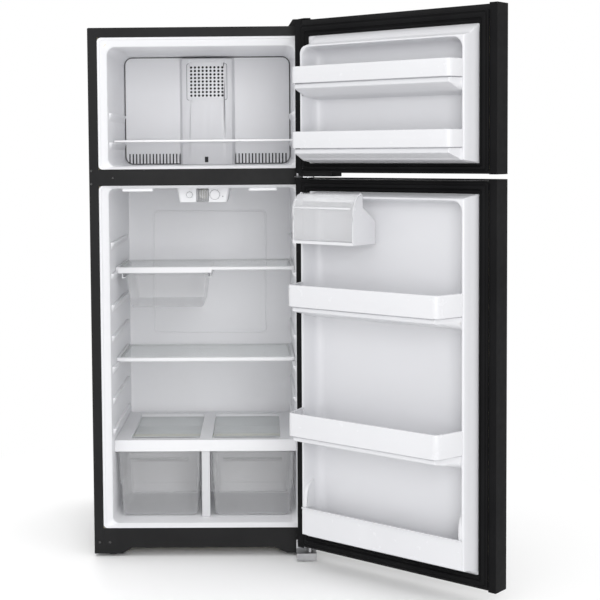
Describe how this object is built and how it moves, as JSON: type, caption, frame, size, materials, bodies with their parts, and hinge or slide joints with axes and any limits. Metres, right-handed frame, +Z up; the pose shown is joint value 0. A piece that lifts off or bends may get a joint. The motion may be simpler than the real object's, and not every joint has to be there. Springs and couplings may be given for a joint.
{
  "type": "top freezer refrigerator",
  "caption": "Upright household refrigerator with a freezer above, black case and doors, white liners, clear drawers, glass shelves and door bins, both doors open.",
  "frame": {"origin": "on the floor, under the middle of the cabinet's front face", "axes": "+X to the viewer's right, +Y from the front to the back, +Z up"},
  "size_m": [1.2427, 1.296, 1.708],
  "materials": {
    "black_paint": "satin",
    "black_plastic": "satin",
    "white_liner": "satin",
    "white_trim": "gloss",
    "clear_plastic": "gloss",
    "pane_glass": "gloss",
    "zinc_steel": "satin",
    "back_steel": "satin",
    "black_rubber": "matte",
    "white_wire": "satin",
    "bare_aluminium": "satin",
    "black_enamel": "gloss",
    "insulation": "matte",
    "roller_plastic": "satin",
    "lamp_glass": "satin"
  },
  "bodies": {
    "cabinet": {"cabinet_shell": "black_paint", "rear_panel": "back_steel", "base_frame": "zinc_steel", "toe_grille": "black_paint", "mullion_rail": "black_paint", "cabinet_foam": "insulation", "freezer_liner": "white_liner", "fresh_food_liner": "white_liner", "compressor_cover": "back_steel", "cord_gland": "black_rubber", "evaporator_cover": "white_liner", "evaporator_coil": "bare_aluminium", "evaporator_fan_motor": "zinc_steel", "freezer_shelf": "white_wire", "control_housing": "white_trim", "light_lens": "clear_plastic", "light_bulb": "lamp_glass", "upper_shelf_frame": "white_trim", "lower_shelf_frame": "white_trim", "glass_panes": "pane_glass", "crisper_cover_frame": "white_trim", "crisper_support": "white_trim", "top_hinge": "black_paint", "top_hinge_cover": "black_plastic", "middle_hinge": "zinc_steel", "bottom_hinge": "zinc_steel", "hinge_screws": "zinc_steel", "compressor": "black_enamel", "condenser_coil": "black_enamel", "condenser_fan_motor": "zinc_steel", "drain_pan": "black_plastic"},
    "freezer_door": {"freezer_door_skin": "black_paint", "freezer_door_caps": "black_plastic", "freezer_door_foam": "insulation", "freezer_door_liner": "white_liner", "freezer_door_gasket": "black_rubber", "freezer_door_retainers": "white_trim", "freezer_door_handle": "black_plastic"},
    "fridge_door": {"fridge_door_skin": "black_paint", "fridge_door_caps": "black_plastic", "fridge_door_foam": "insulation", "fridge_door_liner": "white_liner", "fridge_door_gasket": "black_rubber", "fridge_door_retainers": "white_trim", "fridge_bottom_retainer": "white_trim", "fridge_door_handle": "black_plastic", "dairy_housing": "white_trim"},
    "dairy_flap": {"dairy_cover": "clear_plastic"},
    "crisper_left_drawer": {"crisper_left": "clear_plastic"},
    "crisper_right_drawer": {"crisper_right": "clear_plastic"},
    "meat_drawer": {"meat_pan": "clear_plastic"},
    "freezer_control": {"freezer_dial": "white_trim"},
    "fridge_control": {"temperature_knob": "white_trim"},
    "evaporator_fan": {"evaporator_fan_blade": "black_plastic"},
    "condenser_fan": {"condenser_fan_blade": "black_plastic"},
    "switch_plunger": {"light_switch": "white_trim"},
    "roller_left": {"rear_roller_left": "roller_plastic"},
    "roller_right": {"rear_roller_right": "roller_plastic"},
    "leg_left": {"leveling_leg_left": "black_plastic"},
    "leg_right": {"leveling_leg_right": "black_plastic"}
  },
  "joints": [
    {"name": "freezer_door_swing", "type": "hinge", "parent": "cabinet", "child": "freezer_door", "pos_m": [0.3338, -0.0468, 1.46], "axis": [0, 0, 1], "range_deg": [-140, 0]},
    {"name": "fridge_door_swing", "type": "hinge", "parent": "cabinet", "child": "fridge_door", "pos_m": [0.3338, -0.0468, 0.6], "axis": [0, 0, 1], "range_deg": [-140, 0]},
    {"name": "dairy_flap_lift", "type": "hinge", "parent": "fridge_door", "child": "dairy_flap", "pos_m": [0.39421, -0.2343, 1.166], "axis": [-0.766, 0.6428, 0], "range_deg": [0, 75]},
    {"name": "crisper_left_slide", "type": "slide", "parent": "cabinet", "child": "crisper_left_drawer", "axis": [0, -1, 0], "range_m": [0, 0.24]},
    {"name": "crisper_right_slide", "type": "slide", "parent": "cabinet", "child": "crisper_right_drawer", "axis": [0, -1, 0], "range_m": [0, 0.24]},
    {"name": "meat_pan_slide", "type": "slide", "parent": "cabinet", "child": "meat_drawer", "axis": [0, -1, 0], "range_m": [0, 0.2]},
    {"name": "freezer_dial_turn", "type": "hinge", "parent": "cabinet", "child": "freezer_control", "pos_m": [-0.045, 0.106, 1.156], "axis": [0, -1, 0], "range_deg": [0, 270]},
    {"name": "temperature_knob_turn", "type": "hinge", "parent": "cabinet", "child": "fridge_control", "pos_m": [0.037, 0.104, 1.156], "axis": [0, -1, 0], "range_deg": [0, 270]},
    {"name": "evaporator_fan_spin", "type": "hinge", "parent": "cabinet", "child": "evaporator_fan", "pos_m": [0, 0.5, 1.539], "axis": [0, -1, 0], "continuous": true},
    {"name": "condenser_fan_spin", "type": "hinge", "parent": "cabinet", "child": "condenser_fan", "pos_m": [0.054, 0.6, 0.128], "axis": [-1, 0, 0], "continuous": true},
    {"name": "light_switch_press", "type": "slide", "parent": "cabinet", "child": "switch_plunger", "axis": [-1, 0, 0], "range_m": [-0.005, 0], "stiffness_N_per_m": 150, "springref_m": 0.002},
    {"name": "rear_roller_left_spin", "type": "hinge", "parent": "cabinet", "child": "roller_left", "pos_m": [-0.29, 0.67, 0.016], "axis": [1, 0, 0], "continuous": true},
    {"name": "rear_roller_right_spin", "type": "hinge", "parent": "cabinet", "child": "roller_right", "pos_m": [0.29, 0.67, 0.016], "axis": [1, 0, 0], "continuous": true},
    {"name": "leveling_leg_left_turn", "type": "hinge", "parent": "cabinet", "child": "leg_left", "pos_m": [-0.3, 0.042, 0], "axis": [0, 0, 1], "continuous": true},
    {"name": "leveling_leg_right_turn", "type": "hinge", "parent": "cabinet", "child": "leg_right", "pos_m": [0.3, 0.042, 0], "axis": [0, 0, 1], "continuous": true}
  ]
}
